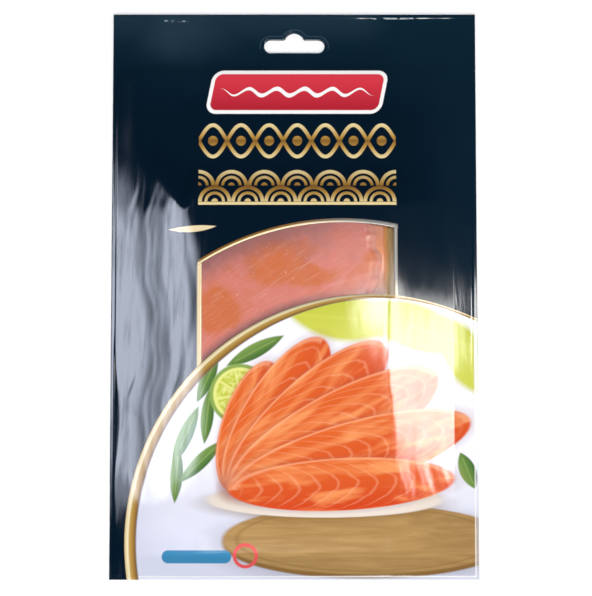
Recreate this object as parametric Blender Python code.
"""A flat pack of sliced smoked salmon: a printed film pouch with a hanging slot and a clear window.

The pack lies on its back, with its printed face up and the slot towards +Y. The origin is on the
surface that it lies on, under the middle of the pouch. Lengths are metres.

The pouch is solid where its print hides what is inside. Under the window it has a pocket, and in
that lie the gold board and two overlapping slices, with the clear film over them.
"""

import bmesh
import bpy
import numpy as np

MM = 0.001

# The pouch: two printed films welded together along all four edges.
PACK_WIDTH = 170 * MM
PACK_HEIGHT = 264 * MM
SEAL_THICKNESS = 0.6 * MM
SIDE_SEAL = 11 * MM
HEADER_SEAL = 24 * MM
FOOT_SEAL = 11 * MM

# The contents lift the front film twice: the board by a little, and the fish on it by more.
# On the left the seal slopes up with the flank; on the right it lies flat, up to a crease.
BOARD_LIFT = 1.3 * MM
BOARD_SHOULDER = 9 * MM
FISH_LIFT = 5.1 * MM
FISH_SHOULDER = 27 * MM
LEFT_FLANK = 37 * MM  # from the cut edge to the top
LEFT_STRAIGHT = 0.45  # share of the left flank's rise that is an even slope; the rest is an S
FISH_HEAD = 42 * MM  # the fish is at its full height below this Y
FISH_HEAD_FADE = 22 * MM  # and has sunk to the board this much further up

# The hanging slot: a round-ended slot with a bump in the middle of its upper side.
SLOT_WIDTH = 28.4 * MM
SLOT_BAND = 6.0 * MM
SLOT_FROM_TOP = 15.4 * MM  # the top of the pack to the middle of the slot
BUMP_RADIUS = 4.7 * MM
BUMP_RISE = 3.2 * MM  # how far the bump stands above the slot
BUMP_FILLET = 1.0 * MM

# The window: straight at its sides, with one arc above it and the printed gold band's arc below.
WINDOW_LEFT = -42.8 * MM
WINDOW_RIGHT = 46.3 * MM
WINDOW_ARC_CENTRE = (22.3 * MM, -89.8 * MM)
WINDOW_ARC_RADIUS = 122.4 * MM
BAND_ARC_CENTRE = (36.3 * MM, -115.3 * MM)
BAND_ARC_RADIUS = 114.5 * MM

# The layers under the window, from the surface upwards.
GAP = 0.3 * MM
POCKET_FLOOR = 0.6 * MM
BOARD_THICKNESS = 0.8 * MM
UNDER_SLICE_THICKNESS = 2.0 * MM
FILM_THICKNESS = 0.4 * MM
SLICE_ROUNDING = 0.7 * MM

# Each slice's cut edge, as its mean place and its waves: (height, length, Y of a crest).
UNDER_SLICE_EDGE = 42.6 * MM
UNDER_SLICE_WAVES = ((0.5 * MM, 21 * MM, 16 * MM), (0.3 * MM, 8 * MM, 3 * MM))
TOP_SLICE_EDGE = 37.0 * MM
TOP_SLICE_WAVES = ((2.2 * MM, 30 * MM, 17 * MM), (0.9 * MM, 9.5 * MM, 5 * MM))

# Steps along the outlines.
ARC_STEPS = 36
EDGE_STEPS = 22
ROUND_STEPS = 10

# Colours as sRGB values out of 255.
NAVY = (6, 25, 42)
GOLD = (178, 146, 84)
SALMON = (206, 116, 92)
SALMON_DEEP = (198, 108, 72)
CLEAR = (236, 240, 244)


def material(name, colour, roughness, metallic=0.0, alpha=1.0):
    share = np.array(colour) / 255
    linear = np.where(share <= 0.04045, share / 12.92, ((share + 0.055) / 1.055) ** 2.4)
    made = bpy.data.materials.new(name)
    made.use_nodes = True
    shader = made.node_tree.nodes["Principled BSDF"]
    shader.inputs["Base Color"].default_value = (*linear, 1)
    shader.inputs["Roughness"].default_value = roughness
    shader.inputs["Metallic"].default_value = metallic
    shader.inputs["Alpha"].default_value = alpha
    return made


def object_from(name, bm, finish=None, height=0.0):
    """An object whose mesh is bm, raised by height, with its faces turned outwards."""
    bmesh.ops.recalc_face_normals(bm, faces=bm.faces)
    mesh = bpy.data.meshes.new(name)
    bm.to_mesh(mesh)
    bm.free()
    if finish:
        mesh.materials.append(finish)
    made = bpy.data.objects.new(name, mesh)
    made.location.z = height
    bpy.context.scene.collection.objects.link(made)
    return made


def spaced(stops, cells):
    """Coordinates through every stop, with the given number of cells between neighbours."""
    runs = [np.linspace(a, b, n, endpoint=False) for a, b, n in zip(stops, stops[1:], cells)]
    return np.append(np.concatenate(runs), stops[-1])


def swell(distance, width):
    """From 0 to 1 over the width: steepest where it leaves the seal, and level on top."""
    t = np.clip(distance / width, 0, 1)
    return t * (2 - t)


def ease(distance, width):
    """From 0 to 1 over the width, level at both ends."""
    t = np.clip(distance / width, 0, 1)
    return t * t * (3 - 2 * t)


def film_height(x, y):
    """Height of the front film's upper face: seals, then the board's lift, then the fish's."""
    from_left = x + PACK_WIDTH / 2
    from_right = PACK_WIDTH / 2 - SIDE_SEAL - x
    from_head = PACK_HEIGHT / 2 - HEADER_SEAL - y
    from_foot = y + PACK_HEIGHT / 2 - FOOT_SEAL
    board = (
        np.clip(from_left / SIDE_SEAL, 0, 1)
        * swell(from_right, BOARD_SHOULDER)
        * swell(from_head, BOARD_SHOULDER)
        * swell(from_foot, BOARD_SHOULDER)
    )
    slope = np.clip(from_left / LEFT_FLANK, 0, 1)
    fish = (
        (LEFT_STRAIGHT * slope + (1 - LEFT_STRAIGHT) * ease(from_left, LEFT_FLANK))
        * swell(from_right, FISH_SHOULDER)
        * swell(from_foot, FISH_SHOULDER)
        * ease(FISH_HEAD + FISH_HEAD_FADE - y, FISH_HEAD_FADE)
    )
    return SEAL_THICKNESS + BOARD_LIFT * board + FISH_LIFT * fish


def arc(centre, radius, start, end, steps):
    """Points on a circle from one angle to another, in degrees, both ends included."""
    angle = np.radians(np.linspace(start, end, steps + 1))
    return np.column_stack(
        [centre[0] + radius * np.cos(angle), centre[1] + radius * np.sin(angle)]
    )


def height_on(centre, radius, x):
    """Y of the upper half of a circle at x."""
    return centre[1] + np.sqrt(radius**2 - (x - centre[0]) ** 2)


def slot_outline():
    """The hanging slot: round ends, and a round bump that runs into the upper side by fillets."""
    middle = PACK_HEIGHT / 2 - SLOT_FROM_TOP
    end_radius = SLOT_BAND / 2
    end_x = SLOT_WIDTH / 2 - end_radius
    upper = middle + end_radius
    bump_y = upper + BUMP_RISE - BUMP_RADIUS
    reach = BUMP_RADIUS + BUMP_FILLET
    fillet_y = upper + BUMP_FILLET
    fillet_x = np.sqrt(reach**2 - (fillet_y - bump_y) ** 2)
    tilt = np.degrees(np.arctan2(fillet_y - bump_y, fillet_x))
    return np.concatenate(
        [
            arc((end_x, middle), end_radius, -90, 90, ROUND_STEPS),
            arc((fillet_x, fillet_y), BUMP_FILLET, 270, 180 + tilt, 4),
            arc((0, bump_y), BUMP_RADIUS, tilt, 180 - tilt, ROUND_STEPS)[1:-1],
            arc((-fillet_x, fillet_y), BUMP_FILLET, -tilt, -90, 4),
            arc((-end_x, middle), end_radius, 90, 270, ROUND_STEPS),
        ]
    )


def window_outline(inset, right_edge):
    """The window's outline, drawn in by the inset, as far right as right_edge(y)."""
    left = WINDOW_LEFT + inset
    upper_radius = WINDOW_ARC_RADIUS - inset
    lower_radius = BAND_ARC_RADIUS + inset
    top = bottom = 0.0
    # The right edge wanders, so its two ends on the arcs are closed in on step by step.
    for _ in range(30):
        top = height_on(WINDOW_ARC_CENTRE, upper_radius, right_edge(top))
        bottom = height_on(BAND_ARC_CENTRE, lower_radius, right_edge(bottom))
    upper_x = np.linspace(left, right_edge(top), ARC_STEPS + 1)
    lower_x = np.linspace(right_edge(bottom), left, ARC_STEPS + 1)
    side_y = np.linspace(top, bottom, EDGE_STEPS + 1)[1:-1]
    return np.concatenate(
        [
            np.column_stack([upper_x, height_on(WINDOW_ARC_CENTRE, upper_radius, upper_x)]),
            np.column_stack([right_edge(side_y), side_y]),
            np.column_stack([lower_x, height_on(BAND_ARC_CENTRE, lower_radius, lower_x)]),
        ]
    )


def straight_edge(x):
    return lambda y: x + 0 * y


def wavy_edge(mean, waves):
    """A cut edge: a straight line with a few cosine waves on it."""

    def edge(y):
        return mean + sum(
            height * np.cos(2 * np.pi * (y - crest) / length) for height, length, crest in waves
        )

    return edge


def prism(outline, height):
    """A closed solid that stands on the outline, from 0 up to the height."""
    bm = bmesh.new()
    base = bm.faces.new([bm.verts.new((x, y, 0)) for x, y in outline])
    raised = bmesh.ops.extrude_face_region(bm, geom=[base])["geom"]
    lifted = [item for item in raised if isinstance(item, bmesh.types.BMVert)]
    bmesh.ops.translate(bm, verts=lifted, vec=(0, 0, height))
    return bm


def rounded_prism(outline, height, rounding):
    """A prism whose upper rim is rounded over."""
    bm = prism(outline, height)
    rim = [
        edge
        for edge in bm.edges
        if all(vert.co.z > height / 2 for vert in edge.verts)
    ]
    bmesh.ops.bevel(
        bm, geom=rim, offset=rounding, segments=3, profile=0.5, affect="EDGES", clamp_overlap=True
    )
    return bm


def pillow():
    """The pouch before anything is cut from it: the swollen front, thin sides and a flat back."""
    half_width = PACK_WIDTH / 2
    half_height = PACK_HEIGHT / 2
    seal_x = half_width - SIDE_SEAL
    board_x = seal_x - BOARD_SHOULDER
    flat_x = seal_x - FISH_SHOULDER
    seal_top = half_height - HEADER_SEAL
    seal_foot = -half_height + FOOT_SEAL
    across = spaced(
        (-half_width, -seal_x, LEFT_FLANK - half_width, flat_x, board_x, seal_x, half_width),
        (5, 11, 5, 6, 5, 1),
    )
    along = spaced(
        (
            -half_height,
            seal_foot,
            seal_foot + BOARD_SHOULDER,
            seal_foot + FISH_SHOULDER,
            FISH_HEAD,
            FISH_HEAD + FISH_HEAD_FADE,
            seal_top - BOARD_SHOULDER,
            seal_top,
            half_height,
        ),
        (1, 5, 6, 6, 8, 3, 5, 1),
    )
    x, y = np.meshgrid(across, along)
    points = np.column_stack([x.ravel(), y.ravel(), film_height(x, y).ravel()])
    columns = len(across)
    corner = (np.arange(len(along) - 1)[:, None] * columns + np.arange(columns - 1)).ravel()
    quads = np.column_stack([corner, corner + 1, corner + columns + 1, corner + columns])

    bm = bmesh.new()
    verts = [bm.verts.new(point) for point in points]
    for quad in quads:
        bm.faces.new([verts[index] for index in quad])
    rim = [edge for edge in bm.edges if edge.is_boundary]
    lower = bmesh.ops.extrude_edge_only(bm, edges=rim)["geom"]
    for item in lower:
        if isinstance(item, bmesh.types.BMVert):
            item.co.z = 0
    back_rim = [
        item for item in lower if isinstance(item, bmesh.types.BMEdge) and item.is_boundary
    ]
    bmesh.ops.edgeloop_fill(bm, edges=back_rim)
    return bm


def cut(target, name, outline, bottom, top):
    """Cuts the outline's prism, from bottom to top, out of the target."""
    cutter = object_from(name, prism(outline, top - bottom), height=bottom)
    cutter.hide_render = True
    cutter.display_type = "WIRE"
    modifier = target.modifiers.new(name, "BOOLEAN")
    modifier.operation = "DIFFERENCE"
    modifier.solver = "EXACT"
    modifier.object = cutter


def add_pouch(front):
    pouch = object_from("pouch", pillow(), material("printed_film", NAVY, 0.2))
    above = front + 5 * MM
    cut(pouch, "slot_cutter", slot_outline(), -5 * MM, above)
    window = window_outline(0, straight_edge(WINDOW_RIGHT))
    cut(pouch, "window_cutter", window, POCKET_FLOOR, above)
    return pouch


def add_window_layers(front):
    """The board, the two slices and the clear film, each a gap clear of what is round it."""
    full_width = straight_edge(WINDOW_RIGHT - GAP)
    height = POCKET_FLOOR + GAP
    board = prism(window_outline(GAP, full_width), BOARD_THICKNESS)
    object_from("gold_board", board, material("gold_board", GOLD, 0.35, 0.8), height)

    height += BOARD_THICKNESS + GAP
    under_edge = wavy_edge(UNDER_SLICE_EDGE, UNDER_SLICE_WAVES)
    under = rounded_prism(window_outline(GAP, under_edge), UNDER_SLICE_THICKNESS, SLICE_ROUNDING)
    object_from("salmon_slice_under", under, material("salmon_deep", SALMON_DEEP, 0.35), height)

    height += UNDER_SLICE_THICKNESS + GAP
    film_bottom = front - FILM_THICKNESS
    top_edge = wavy_edge(TOP_SLICE_EDGE, TOP_SLICE_WAVES)
    thickness = film_bottom - GAP - height
    top = rounded_prism(window_outline(GAP, top_edge), thickness, SLICE_ROUNDING)
    object_from("salmon_slice_top", top, material("salmon", SALMON, 0.35), height)

    film = prism(window_outline(GAP, full_width), FILM_THICKNESS)
    object_from("window_film", film, material("clear_film", CLEAR, 0.05, alpha=0.25), film_bottom)


def main():
    for old in list(bpy.data.objects):
        bpy.data.objects.remove(old, do_unlink=True)
    # The front film is level over the whole window, at the height of its middle.
    front = float(film_height(0.0, 0.0))
    add_pouch(front)
    add_window_layers(front)


main()
